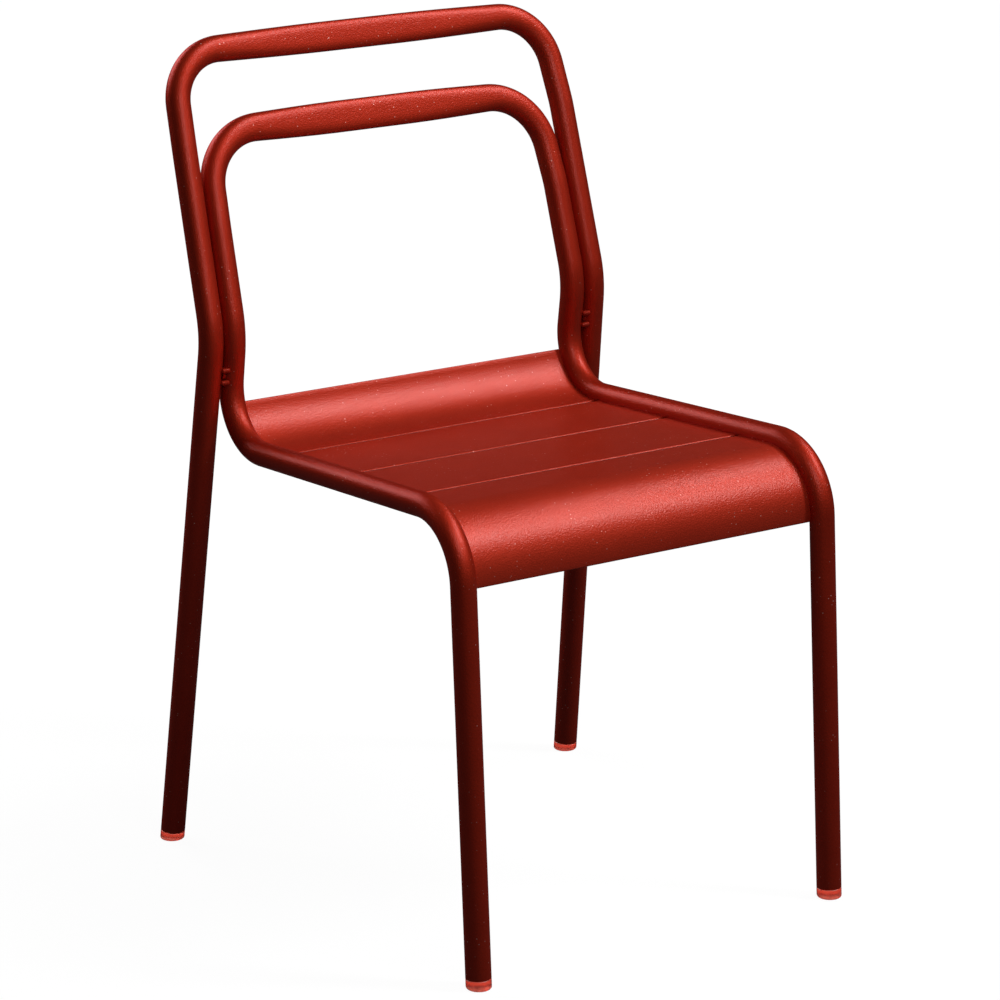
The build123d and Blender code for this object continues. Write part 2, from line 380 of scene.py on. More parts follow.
def bent_line(
    points: Sequence[Vector],
    radii: Sequence[float],
    arc_step: float = math.radians(3),
    run_step: float = 25 * MM,
) -> list[Station]:
    """Walk along straight runs joined by arcs.

    Args:
        points: Ends and corners of the line.
        radii: One bend radius for each corner.
        arc_step: Largest turn from one station to the next.
        run_step: Longest straight run from one station to the next.

    Returns:
        Stations from the first point to the last.
    """
    corners = zip(points, points[1:], points[2:], radii)
    bends = [Bend.between(*corner) for corner in corners]
    stations: list[Station] = []

    def add(place: Vector, heading: Vector) -> None:
        """Append a station, a straight step on from the last one."""
        run = stations[-1].run + (place - stations[-1].place).length if stations else 0.0
        stations.append(Station(place, heading, run))

    heading = (points[1] - points[0]).normalized()
    add(points[0], heading)
    for index, target in enumerate([bend.start for bend in bends] + [points[-1]]):
        origin = stations[-1].place
        steps = max(1, math.ceil((target - origin).length / run_step))
        for step in range(1, steps + 1):
            add(origin.lerp(target, step / steps), heading)
        if index < len(bends):
            steps = max(2, math.ceil(bends[index].turn / arc_step))
            for step in range(1, steps + 1):
                add(*bends[index].along(step / steps))
            heading = bends[index].onward
    return stations


def carried_axes(stations: Sequence[Station], first: Vector) -> Iterator[tuple[Station, Axes]]:
    """Carry a pair of cross axes along a line without twist.

    Args:
        stations: The line.
        first: Cross axis at the first station, square to its heading.

    Yields:
        Each station with its two cross axes.
    """
    axis = first.normalized()
    heading = stations[0].heading
    for station in stations:
        axis = heading.rotation_difference(station.heading) @ axis
        heading = station.heading
        yield station, (axis, heading.cross(axis))


def oval(
    place: Vector, axes: Axes, halves: tuple[float, float], sides: int, power: float = ELLIPSE
) -> Ring:
    """Ring in the shape of a superellipse.

    Args:
        place: Centre of the ring.
        axes: Its two unit axes.
        halves: Half size along each axis.
        sides: Number of points.
        power: Two gives an ellipse, and more gives flatter faces.

    Returns:
        The ring's points in order.
    """
    ring = []
    for index in range(sides):
        angle = math.tau * index / sides
        point = place.copy()
        for axis, half, share in zip(axes, halves, (math.cos(angle), math.sin(angle))):
            point += axis * (math.copysign(abs(share) ** (2 / power), share) * half)
        ring.append(point)
    return ring


def ease(share: float) -> float:
    """Smooth step from zero to one."""
    share = min(max(share, 0.0), 1.0)
    return share * share * (3 - 2 * share)


def side_view(point: Vector) -> Vector:
    """Point moved into the middle plane of the chair."""
    return Vector((0.0, *point.yz))


def scene_object(name: str, data: bpy.types.ID) -> bpy.types.Object:
    """Object of the scene for a mesh, a lamp or a camera."""
    made = bpy.data.objects.new(name, data)
    bpy.context.scene.collection.objects.link(made)
    return made


def lofted(name: str, bodies: Iterable[Sequence[Ring]]) -> bpy.types.Object:
    """Make a piece of one or more capped bodies.

    Args:
        name: Name of the piece.
        bodies: For each body, closed rings with the same number of points, in order.

    Returns:
        The smooth-shaded object, with its hard edges kept.
    """
    edit = bmesh.new()
    for rings in bodies:
        rows = [[edit.verts.new(point) for point in ring] for ring in rings]
        for row, following in zip(rows, rows[1:]):
            for index in range(len(row)):
                corners = (row[index - 1], row[index], following[index], following[index - 1])
                edit.faces.new(corners)
        edit.faces.new(rows[0])
        edit.faces.new(rows[-1])
    bmesh.ops.recalc_face_normals(edit, faces=edit.faces)
    mesh = bpy.data.meshes.new(name)
    edit.to_mesh(mesh)
    edit.free()
    mesh.shade_smooth()
    mesh.set_sharp_from_angle(angle=SHARP_EDGE)
    return scene_object(name, mesh)


def dress(piece: bpy.types.Object, material: bpy.types.Material, slot: Slot, node: str) -> None:
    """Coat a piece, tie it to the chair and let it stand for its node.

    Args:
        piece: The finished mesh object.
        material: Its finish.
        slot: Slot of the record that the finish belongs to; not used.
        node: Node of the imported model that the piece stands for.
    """
    piece.data.materials.append(material)
    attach(piece, BODY)
    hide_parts(node)
    LOG.info("%s: %d faces in %s", piece.name, len(piece.data.polygons), material.name)


# Lines of the chair
def foot_mount(name: str) -> Vector:
    """Floor point of one foot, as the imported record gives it."""
    mounts = {mount["name"]: mount["pos_m"] for mount in frame["record"]["mounts"]}
    return Vector(mounts[name])


def climb(degrees: float, height: float) -> Vector:
    """Step in the side view that gains a height while leaning back by an angle."""
    return Vector((0.0, height * math.tan(math.radians(degrees)), height))


@dataclass
class ChairLines:
    """Driving sizes of the chair, and the points that its tubes, slats and welds share.

    Points are those of the right-hand half.
    """

    tube_radius: float = 12.5 * MM
    tube_wall: float = 2 * MM
    frame_pitch: float = 25.4 * MM
    glide_height: float = 10 * MM
    seat_length: float = 428.8 * MM
    seat_front_height: float = 456.8 * MM
    seat_fall: float = 3.64
    seat_flare: float = 4.9 * MM
    front_leg_lean: float = 3.6
    front_bend_radius: float = 67 * MM
    rear_bend_radius: float = 57 * MM
    riser_height: float = 116.5 * MM
    riser_setback: float = 16.6 * MM
    upright_rise: float = 179 * MM
    lean_rise: float = 90 * MM
    back_recline: float = 16.8
    top_lean: float = 20.2
    rail_step: float = 78.5 * MM
    shoulder_inset: float = 4.2 * MM
    upper_corner_inset: float = 6.3 * MM
    lower_corner_inset: float = 6.5 * MM
    middle_slats: int = 2
    slat_thickness: float = 2.5 * MM
    slat_drop: float = 3 * MM
    slat_gap: float = 2.5 * MM
    slat_pitch: float = 118.5 * MM
    lip_radius: float = 1.8 * MM
    lip_land: float = 0.5 * MM

    def __post_init__(self) -> None:
        """Work out the shared points, up from the feet."""
        self.front_foot = foot_mount("foot_front_right")
        self.rear_foot = foot_mount("foot_rear_right")
        self.seat_front = self.front_foot + climb(self.front_leg_lean, self.seat_front_height)
        fall = self.seat_length * math.tan(math.radians(self.seat_fall))
        self.seat_rear = self.seat_front + Vector((-self.seat_flare, self.seat_length, -fall))
        self.inner_knee = self.seat_rear + Vector((0.0, -self.riser_setback, self.riser_height))
        self.knee = self.inner_knee + X_AXIS * self.frame_pitch
        upright = climb(self.back_recline, self.upright_rise)
        top = climb(self.top_lean, self.lean_rise)
        self.shoulder = self.knee + upright - X_AXIS * self.shoulder_inset
        self.upper_corner = self.shoulder + top - X_AXIS * self.upper_corner_inset
        inner_share = 1 - self.rail_step / self.upright_rise
        self.inner_shoulder = self.inner_knee + (self.shoulder - self.knee) * inner_share
        self.inner_corner = self.inner_shoulder + top - X_AXIS * self.lower_corner_inset
        slope = math.radians(self.seat_fall)
        self.forward = Vector((0.0, -math.cos(slope), math.sin(slope)))
        self.down = Vector((0.0, -math.sin(slope), -math.cos(slope)))
        corners = (self.inner_knee, self.seat_rear, self.seat_front, self.front_foot)
        knee, rear, front, foot = (side_view(corner) for corner in corners)
        self.leg_down = (foot - front).normalized()
        self.rear_tangent = Bend.between(knee, rear, front, self.rear_bend_radius).end
        self.front_tangent = Bend.between(rear, front, foot, self.front_bend_radius).start

    @property
    def sheet_depth(self) -> float:
        """Depth of the middle of the slat sheet under the rail's centre line."""
        return self.slat_drop + self.slat_thickness / 2

    @property
    def lip_inset(self) -> float:
        """Distance from the middle of a gap to the middle of a lip's sheet."""
        return (self.slat_gap + self.slat_thickness) / 2

    @property
    def first_gap(self) -> float:
        """Distance of the rear gap's middle forward of the rear bend."""
        return self.lip_inset + self.lip_radius + self.lip_land

    def on_rail(self, distance: float, depth: float) -> Vector:
        """Side-view point, forward of the rear bend and under the rail's centre line."""
        return self.rear_tangent + self.forward * distance + self.down * depth

    def rail_half_width(self, place_y: float) -> float:
        """Distance of a seat rail's centre line from the middle of the chair."""
        share = (self.seat_rear.y - place_y) / self.seat_length
        return self.seat_rear.x + (self.seat_front.x - self.seat_rear.x) * share


def at_height(low: Vector, high: Vector, height: float) -> Vector:
    """Point of a straight run at a height."""
    return low.lerp(high, (height - low.z) / (high.z - low.z))


# Frames
@dataclass
class HoopFrames:
    """The two hoops of bent tube, each pressed to a flat oval along its back rail."""

    lines: ChairLines
    coat: bpy.types.Material
    knee_radius: float = 100 * MM
    shoulder_radius: float = 150 * MM
    upper_corner_radius: float = 57 * MM
    lower_corner_radius: float = 62 * MM
    upper_oval_height: float = 30.4 * MM
    lower_oval_height: float = 32.4 * MM
    oval_thickness: float = 13 * MM
    oval_power: float = 3.4
    pressed_half_length: float = 40 * MM
    end_round: float = 0.5 * MM
    bore_shown: float = 36 * MM
    sides: int = 44

    def build(self) -> None:
        """Make both frames."""
        lines = self.lines
        corners = [lines.upper_corner, lines.shoulder, lines.knee]
        radii = [self.upper_corner_radius, self.shoulder_radius, self.knee_radius]
        self.hoop("outer_frame", corners, lines.rear_foot, radii, self.upper_oval_height)
        corners = [lines.inner_corner, lines.inner_shoulder, lines.inner_knee]
        corners += [lines.seat_rear, lines.seat_front]
        radii = [self.lower_corner_radius, self.shoulder_radius, self.knee_radius]
        radii += [lines.rear_bend_radius, lines.front_bend_radius]
        self.hoop("inner_frame", corners, lines.front_foot, radii, self.lower_oval_height)

    def hoop(
        self, node: str, corners: list[Vector], foot: Vector, radii: list[float], oval_height: float
    ) -> None:
        """Make one frame as a tube that runs from foot to foot over its back rail.

        Args:
            node: Node that the frame stands for.
            corners: Corners of the right-hand half, from the back rail down.
            foot: Floor point under the leg.
            radii: Bend radius at each corner.
            oval_height: Height of the back rail at its middle.
        """
        rail_middle = side_view(corners[0])
        leg_end = foot + (corners[-1] - foot).normalized() * self.lines.glide_height
        points = [rail_middle, *corners, leg_end]
        press_axis = X_AXIS.cross(corners[0] - corners[1])
        corner = Bend.between(rail_middle, corners[0], corners[1], radii[0])
        round_run = corners[0].x - corner.reach + corner.radius * corner.turn
        fade = round_run - self.pressed_half_length
        half = []
        for station, axes in carried_axes(bent_line(points, radii), press_axis):
            pressed = 1 - ease((station.run - self.pressed_half_length) / fade)
            half.append(self.section(station.place, axes, oval_height, pressed))
        half += self.open_end(half.pop(), leg_end, corners[-1])
        mirrored = [Side.LEFT.place(ring) for ring in reversed(half[1:])]
        dress(lofted(f"{node}_tube", [mirrored + half]), self.coat, Slot.FRAME, node)

    def section(self, place: Vector, axes: Axes, oval_height: float, pressed: float) -> Ring:
        """Ring of the tube at one station.

        Args:
            place: Centre of the tube.
            axes: Axis along which the press flattens it, and axis along which it spreads.
            oval_height: Height of the full oval.
            pressed: Zero for the round tube and one for the full oval.

        Returns:
            The ring's points.
        """
        radius = self.lines.tube_radius
        half_thin = radius + (self.oval_thickness / 2 - radius) * pressed
        half_tall = radius + (oval_height / 2 - radius) * pressed
        power = ELLIPSE + (self.oval_power - ELLIPSE) * pressed
        return oval(place, axes, (half_thin, half_tall), self.sides, power)

    def open_end(self, last: Ring, leg_end: Vector, above: Vector) -> list[Ring]:
        """Rounded cut end of a leg and the bore above it.

        Args:
            last: Ring at the cut end.
            leg_end: Centre of the cut end.
            above: A point up the leg's centre line.

        Returns:
            Rings from the skin, round the edge and into the bore.
        """
        upward = (above - leg_end).normalized()
        radius = self.lines.tube_radius
        bore = radius - self.lines.tube_wall
        steps = (
            (radius, self.end_round),
            (radius - self.end_round, 0.0),
            (bore + self.end_round, 0.0),
            (bore, self.end_round),
            (bore, self.bore_shown),
        )
        rings = []
        for reach, height in steps:
            rise = upward * height
            rings.append([leg_end + (point - leg_end) * (reach / radius) + rise for point in last])
        return rings


# Seat
@dataclass
class SeatSlats:
    """Four slats of bent sheet between the seat rails, folded down at the gaps."""

    lines: ChairLines
    coat: bpy.types.Material
    lip_depth: float = 9 * MM
    rear_turn: float = 71.3
    tail: float = 4 * MM
    # Depths in a gap where the painted shade begins and where it is full
    end_sink: float = 0.9 * MM
    painted_gap_shade_start: float = 0.55 * MM
    painted_gap_shade_depth: float = 1.5 * MM
    columns: int = 13
    nose_steps: int = 6

    def build(self) -> None:
        """Make the slats from the rear one to the front one."""
        lines = self.lines
        self.slat("slat_rear", *self.rear_profile())
        for index, node in enumerate(("slat_middle_rear", "slat_middle_front")):
            rear_edge = lines.first_gap + index * lines.slat_pitch + lines.lip_inset
            front_edge = lines.first_gap + (index + 1) * lines.slat_pitch - lines.lip_inset
            points = self.fold(rear_edge) + self.fold(front_edge)[::-1]
            self.slat(node, points, [lines.lip_radius, lines.lip_radius])
        self.slat("slat_front", *self.front_profile())

    def fold(self, distance: float) -> list[Vector]:
        """Bottom and corner of a lip that is folded down at a distance along the rail."""
        depths = (self.lines.slat_drop + self.lip_depth, self.lines.sheet_depth)
        return [self.lines.on_rail(distance, depth) for depth in depths]

    def rear_profile(self) -> tuple[list[Vector], list[float]]:
        """Side view of the slat that curves up the rear bends.

        Returns:
            Corners of the sheet's middle line, and their bend radii.
        """
        lines = self.lines
        radius = lines.rear_bend_radius + lines.sheet_depth
        turn = math.radians(self.rear_turn)
        reach = radius * math.tan(turn / 2)
        corner = lines.on_rail(-reach, lines.sheet_depth)
        upward = lines.forward * -math.cos(turn) - lines.down * math.sin(turn)
        tip = corner + upward * (reach + self.tail)
        edge = lines.first_gap - lines.lip_inset
        return [*self.fold(edge), corner, tip], [lines.lip_radius, radius]

    def front_profile(self) -> tuple[list[Vector], list[float]]:
        """Side view of the slat that turns down over the front bends.

        Returns:
            Corners of the sheet's middle line, and their bend radii.
        """
        lines = self.lines
        radius = lines.front_bend_radius - lines.sheet_depth
        reach = radius * math.tan(lines.forward.angle(lines.leg_down) / 2)
        corner = lines.front_tangent + lines.down * lines.sheet_depth + lines.forward * reach
        tip = corner + lines.leg_down * (reach + self.tail)
        edge = lines.first_gap + lines.middle_slats * lines.slat_pitch + lines.lip_inset
        return [*self.fold(edge), corner, tip], [lines.lip_radius, radius]

    def slat(self, node: str, points: list[Vector], radii: list[float]) -> None:
        """Make one slat.

        Args:
            node: Node that the slat stands for.
            points: Corners of the sheet's middle line in side view.
            radii: Bend radius at each inner corner.
        """
        lines = self.lines
        outline = self.outline(bent_line(points, radii))
        reach = math.sqrt(lines.tube_radius**2 - lines.slat_drop**2) - self.end_sink
        half_widths = [lines.rail_half_width(point.y) - reach for point in outline]
        rings = []
        for column in range(self.columns):
            share = 2 * column / (self.columns - 1) - 1
            ends = zip(half_widths, outline)
            rings.append([Vector((share * half, *point.yz)) for half, point in ends])
        piece = lofted(f"{node}_sheet", [rings])
        # How deep each point lies in a gap, for the painted shade there
        painted_gap_shade = piece.data.attributes.new(PAINTED_GAP_SHADE_ATTRIBUTE, "FLOAT", "POINT")
        depths = [self.painted_gap_shade(vertex.co) for vertex in piece.data.vertices]
        painted_gap_shade.data.foreach_set("value", depths)
        dress(piece, self.coat, Slot.FRAME, node)

    def painted_gap_shade(self, point: Vector) -> float:
        """How deep a point of a folded edge lies in a gap between slats, for the painted shade
        there.

        Args:
            point: A point of a slat.

        Returns:
            Zero in the open and one deep in a gap.
        """
        lines = self.lines
        offset = side_view(point) - lines.on_rail(lines.first_gap, lines.slat_drop)
        along = offset.dot(lines.forward)
        gap = round(along / lines.slat_pitch)
        from_gap = abs(along - gap * lines.slat_pitch)
        if not 0 <= gap <= lines.middle_slats or from_gap >= lines.lip_inset:
            return 0.0
        depth = offset.dot(lines.down) - self.painted_gap_shade_start
        return ease(depth / (self.painted_gap_shade_depth - self.painted_gap_shade_start))

    def outline(self, stations: Sequence[Station]) -> Ring:
        """Edge of the sheet in side view, with both cut edges rounded.

        Args:
            stations: Middle line of the sheet.

        Returns:
            A closed outline.
        """
        half = self.lines.slat_thickness / 2
        upper, lower = (
            [station.place + X_AXIS.cross(station.heading) * offset for station in stations]
            for offset in (half, -half)
        )
        return upper + self.nose(stations[-1], 1) + lower[::-1] + self.nose(stations[0], -1)

    def nose(self, station: Station, onward: int) -> list[Vector]:
        """Half round at one cut edge, between the two faces of the sheet.

        Args:
            station: End of the sheet's middle line.
            onward: One at the line's last end and minus one at its first.

        Returns:
            Points of the half round without its ends.
        """
        half = self.lines.slat_thickness / 2
        across = X_AXIS.cross(station.heading) * onward
        ahead = station.heading * onward
        points = []
        for step in range(1, self.nose_steps):
            angle = math.pi * step / self.nose_steps
            level = station.place + across * (half * math.cos(angle))
            points.append(level + ahead * (half * math.sin(angle)))
        return points


# Joins between the frames
@dataclass
class Spacers:
    """Short pins that hold the outer frame beside the inner frame, under the knees."""

    lines: ChairLines
    coat: bpy.types.Material
    radius: float = 7.5 * MM
    below_knee: float = 40.5 * MM
    sink: float = 1.2 * MM
    flare: float = 1.1 * MM
    flare_power: int = 4
    steps: int = 8
    sides: int = 32

    def build(self) -> None:
        """Make the pin on each side."""
        for side in Side:
            node = f"spacer_{side.name.lower()}"
            pin = [side.place(ring) for ring in self.rings()]
            dress(lofted(f"{node}_pin", [pin]), self.coat, Slot.FRAME, node)

    def ends(self, offset: float = 0.0) -> tuple[Vector, Vector]:
        """Points of the two tubes' centre lines beside the pin.

        Args:
            offset: Height above the pin's middle.

        Returns:
            The inner frame's point and the outer frame's point.
        """
        lines = self.lines
        height = lines.knee.z - self.below_knee + offset
        inner = at_height(lines.seat_rear, lines.inner_knee, height)
        return inner, at_height(lines.rear_foot, lines.knee, height)

    def rings(self) -> list[Ring]:
        """Shape the right-hand pin, which flares into both tubes.

        Returns:
            Rings from the inner tube to the outer one.
        """
        inner, outer = self.ends()
        axis = (outer - inner).normalized()
        start = inner + axis * (self.lines.tube_radius - self.sink)
        end = outer - axis * (self.lines.tube_radius - self.sink)
        upward = axis.orthogonal().normalized()
        axes = (upward, axis.cross(upward))
        rings = []
        for step in range(self.steps + 1):
            share = step / self.steps
            radius = self.radius + self.flare * (2 * share - 1) ** self.flare_power
            rings.append(oval(start.lerp(end, share), axes, (radius, radius), self.sides))
        return rings


@dataclass
class WeldBeads:
    """Short weld beads under the slats, behind the uprights and at the spacers, under the coat."""

    lines: ChairLines
    spacers: Spacers
    coat: bpy.types.Material
    seat_radius: float = 2 * MM
    seat_gap: float = 0.3 * MM
    seam_fullness: float = 1.22
    spacer_fullness: float = 1.5
    ripple_pitch: float = 1.9 * MM
    ripple_share: float = 0.12
    slat_length: float = 24 * MM
    slat_spacing: float = 64 * MM
    bend_start: float = 18.0
    bend_end: float = 44.0
    upright_length: float = 24 * MM
    upright_shares: tuple[float, float] = (0.38, 0.76)
    spacer_length: float = 4 * MM
    spacer_spacing: float = 12.8 * MM
    # Square of the share of the full radius that the tip keeps
    tip_square: float = 0.02
    ring_step: float = 0.5 * MM
    ring_turn: float = 1.0
    arc_share: float = 0.4
    sides: int = 16

    def build(self) -> None:
        """Make each group of beads on each side."""
        groups = {
            "slat_welds": (self.slat_paths(), self.seam_fullness),
            "upright_welds": (self.upright_paths(), self.seam_fullness),
            "spacer_welds": (self.spacer_paths(), self.spacer_fullness),
        }
        for group, (paths, fullness) in groups.items():
            full = self.seat_radius * fullness
            for side in Side:
                node = f"{group}_{side.name.lower()}"
                beads = [self.bead(side.place(path), full) for path in paths]
                dress(lofted(f"{node}_beads", beads), self.coat, Slot.WELD, node)

    @property
    def tube_reach(self) -> float:
        """Distance of a bead's centre from the centre line of the tube beside it."""
        return self.lines.tube_radius + self.seat_gap + self.seat_radius

    @property
    def slat_depth(self) -> float:
        """Depth of a bead's centre under the rail's centre line, where it lies under a slat."""
        return self.lines.slat_drop + self.lines.slat_thickness + self.seat_gap + self.seat_radius

    def beside_rail(self, point: Vector) -> Vector:
        """Side-view point under a slat, moved out against the right-hand rail."""
        reach = math.sqrt(self.tube_reach**2 - self.slat_depth**2)
        return point + X_AXIS * (self.lines.rail_half_width(point.y) - reach)

    def slat_paths(self) -> list[list[Vector]]:
        """Lay the beads under the right-hand ends of the slats.

        Returns:
            Centre line of each bead.
        """
        lines = self.lines
        paths = []
        for index in range(lines.middle_slats):
            slat_middle = lines.first_gap + (index + 0.5) * lines.slat_pitch
            for sign in (-1, 1):
                place = slat_middle + sign * self.slat_spacing / 2
                ends = (place - self.slat_length / 2, place + self.slat_length / 2)
                paths.append([lines.on_rail(end, self.slat_depth) for end in ends])
        rear_centre = lines.rear_tangent - lines.down * lines.rear_bend_radius
        front_centre = lines.front_tangent + lines.down * lines.front_bend_radius
        rear_path = []
        front_path = []
        for angle in (self.bend_start, (self.bend_start + self.bend_end) / 2, self.bend_end):
            turn = math.radians(angle)
            arm = lines.down * math.cos(turn) - lines.forward * math.sin(turn)
            rear_path.append(rear_centre + arm * (lines.rear_bend_radius + self.slat_depth))
            arm = lines.forward * math.sin(turn) - lines.down * math.cos(turn)
            front_path.append(front_centre + arm * (lines.front_bend_radius - self.slat_depth))
        paths += [rear_path, front_path]
        return [[self.beside_rail(point) for point in path] for path in paths]

    def valley(self, inner: Vector, outer: Vector, outward: Vector) -> Vector:
        """Centre of a bead in the valley between two tubes, on the side given."""
        half_apart = (outer - inner).length / 2
        rise = math.sqrt(max(self.tube_reach**2 - half_apart**2, 0.0))
        return (inner + outer) / 2 + outward * rise

    def upright_paths(self) -> list[list[Vector]]:
        """Lay the beads behind the right-hand uprights.

        Returns:
            Centre line of each bead.
        """
        lines = self.lines
        upright = (lines.inner_shoulder - lines.inner_knee).normalized()
        rearward = upright.cross(X_AXIS).normalized()
        paths = []
        for share in self.upright_shares:
            inner = lines.inner_knee.lerp(lines.inner_shoulder, share)
            centre = self.valley(inner, inner + X_AXIS * lines.frame_pitch, rearward)
            paths.append([centre + upright * (sign * self.upright_length / 2) for sign in (-1, 1)])
        return paths

    def spacer_paths(self) -> list[list[Vector]]:
        """Lay the beads across the right-hand spacer's bottom and top, in front of it.

        Returns:
            Centre line of each bead.
        """
        frontward = X_AXIS.cross(self.lines.inner_knee - self.lines.seat_rear).normalized()
        half = X_AXIS * (self.spacer_length / 2)
        paths = []
        for sign in (-1, 1):
            inner, outer = self.spacers.ends(sign * self.spacer_spacing / 2)
            centre = self.valley(inner + half, outer - half, frontward)
            paths.append([centre - half, centre + half])
        return paths

    def bead(self, path: list[Vector], full: float) -> list[Ring]:
        """Rings of one bead, rippled where each drop of metal set on the last.

        Args:
            path: Two ends, or two ends and a middle, of the bead's centre line.
            full: Largest radius of the bead.

        Returns:
            Rings from one rounded end to the other.
        """
        first_heading = (path[1] - path[0]).normalized()
        last_heading = (path[-1] - path[-2]).normalized()
        points = [path[0] - first_heading * full, *path[1:-1], path[-1] + last_heading * full]
        radii = [self.arc_radius(*points)] if len(points) == 3 else []
        stations = bent_line(points, radii, math.radians(self.ring_turn), self.ring_step)
        length = stations[-1].run
        rings = []
        for station, axes in carried_axes(stations, first_heading.orthogonal()):
            to_end = min(station.run, length - station.run)
            dome = math.sqrt(max(1 - (1 - min(to_end / full, 1.0)) ** 2, self.tip_square))
            ripple = abs(math.cos(math.pi * station.run / self.ripple_pitch))
            radius = full * dome * (1 - self.ripple_share * ripple)
            rings.append(oval(station.place, axes, (radius, radius), self.sides))
        return rings

    def arc_radius(self, start: Vector, middle: Vector, end: Vector) -> float:
        """Radius that rounds most of a bent bead, which has its corner at the middle."""
        bend = Bend.between(start, middle, end, 1.0)
        return self.arc_share * min((middle - start).length, (end - middle).length) / bend.reach


# Feet
@dataclass
class FootGlides:
    """Plugs in the leg ends: a rounded foot that stands level, under a ringed shank."""

    lines: ChairLines
    plastic: bpy.types.Material
    sole_round: float = 2.5 * MM
    seam_round: float = 0.6 * MM
    shank_length: float = 22 * MM
    shank_gap: float = 0.3 * MM
    fin_depth: float = 2 * MM
    fin_count: int = 4
    fin_width: float = 2 * MM
    round_steps: int = 6
    sides: int = 40

    def build(self) -> None:
        """Make the four glides."""
        legs = {
            "front": (self.lines.front_foot, self.lines.seat_front),
            "rear": (self.lines.rear_foot, self.lines.knee),
        }
        for end, (foot, above) in legs.items():
            for side in Side:
                node = f"glide_{end}_{side.name.lower()}"
                plug = [side.place(ring) for ring in self.rings(foot, above)]
                dress(lofted(f"{node}_plug", [plug]), self.plastic, Slot.GLIDE, node)

    def rings(self, foot: Vector, above: Vector) -> list[Ring]:
        """Rings of one right-hand glide, from the sole up to the end of the shank.

        Args:
            foot: Floor point under the leg.
            above: A point up the leg's centre line.

        Returns:
            The rings in order.
        """
        axis = (above - foot).normalized()
        first = axis.orthogonal().normalized()
        arms = oval(Vector(), (first, axis.cross(first)), (1.0, 1.0), self.sides)
        rings = []
        for step in range(self.round_steps + 1):
            angle = math.pi / 2 * (1 - step / self.round_steps)
            reach = self.lines.tube_radius - self.sole_round * (1 - math.cos(angle))
            level = self.sole_round * (1 - math.sin(angle))
            rings.append(
                [foot + arm * reach + axis * ((level - arm.z * reach) / axis.z) for arm in arms]
            )
        for reach, rise in self.shank_steps():
            rings.append([foot + arm * reach + axis * rise for arm in arms])
        return rings

    def shank_steps(self) -> Iterator[tuple[float, float]]:
        """Step up the glide above its rounded sole.

        Yields:
            Radius and height of each ring.
        """
        lines = self.lines
        yield lines.tube_radius, lines.glide_height - self.seam_round
        yield lines.tube_radius - self.seam_round, lines.glide_height
        fin = lines.tube_radius - lines.tube_wall - self.shank_gap
        core = fin - self.fin_depth
        yield core, lines.glide_height
        for index in range(self.fin_count):
            top = lines.glide_height + (index + 1) * self.shank_length / self.fin_count
            yield core, top - self.fin_width
            yield fin, top - self.fin_width
            yield fin, top
            if index < self.fin_count - 1:
                yield core, top


# Studio
@dataclass(frozen=True)
class SoftLamp:
    """Soft box that looks at the chair from an azimuth and an elevation."""

    name: str
    azimuth: float
    elevation: float
    distance: float
    size: tuple[float, float]
    power: float
    aim: tuple[float, float, float] = (0.0, 0.0, 0.5)

    def build(self) -> None:
        """Hang the lamp and turn it to its aim."""
        lamp = bpy.data.lights.new(self.name, "AREA")
        lamp.shape = "RECTANGLE"
        lamp.size, lamp.size_y = self.size
        lamp.energy = self.power
        hung = scene_object(self.name, lamp)
        back = direction(self.azimuth, self.elevation)
        hung.location = Vector(self.aim) + back * self.distance
        hung.rotation_euler = back.to_track_quat("Z", "Y").to_euler()


def direction(azimuth: float, elevation: float) -> Vector:
    """Unit vector from the chair: azimuth 0 is where a sitter faces and 90 is their left."""
    turn, rise = math.radians(azimuth), math.radians(elevation)
    level = math.cos(rise)
    return Vector((math.sin(turn) * level, -math.cos(turn) * level, math.sin(rise)))


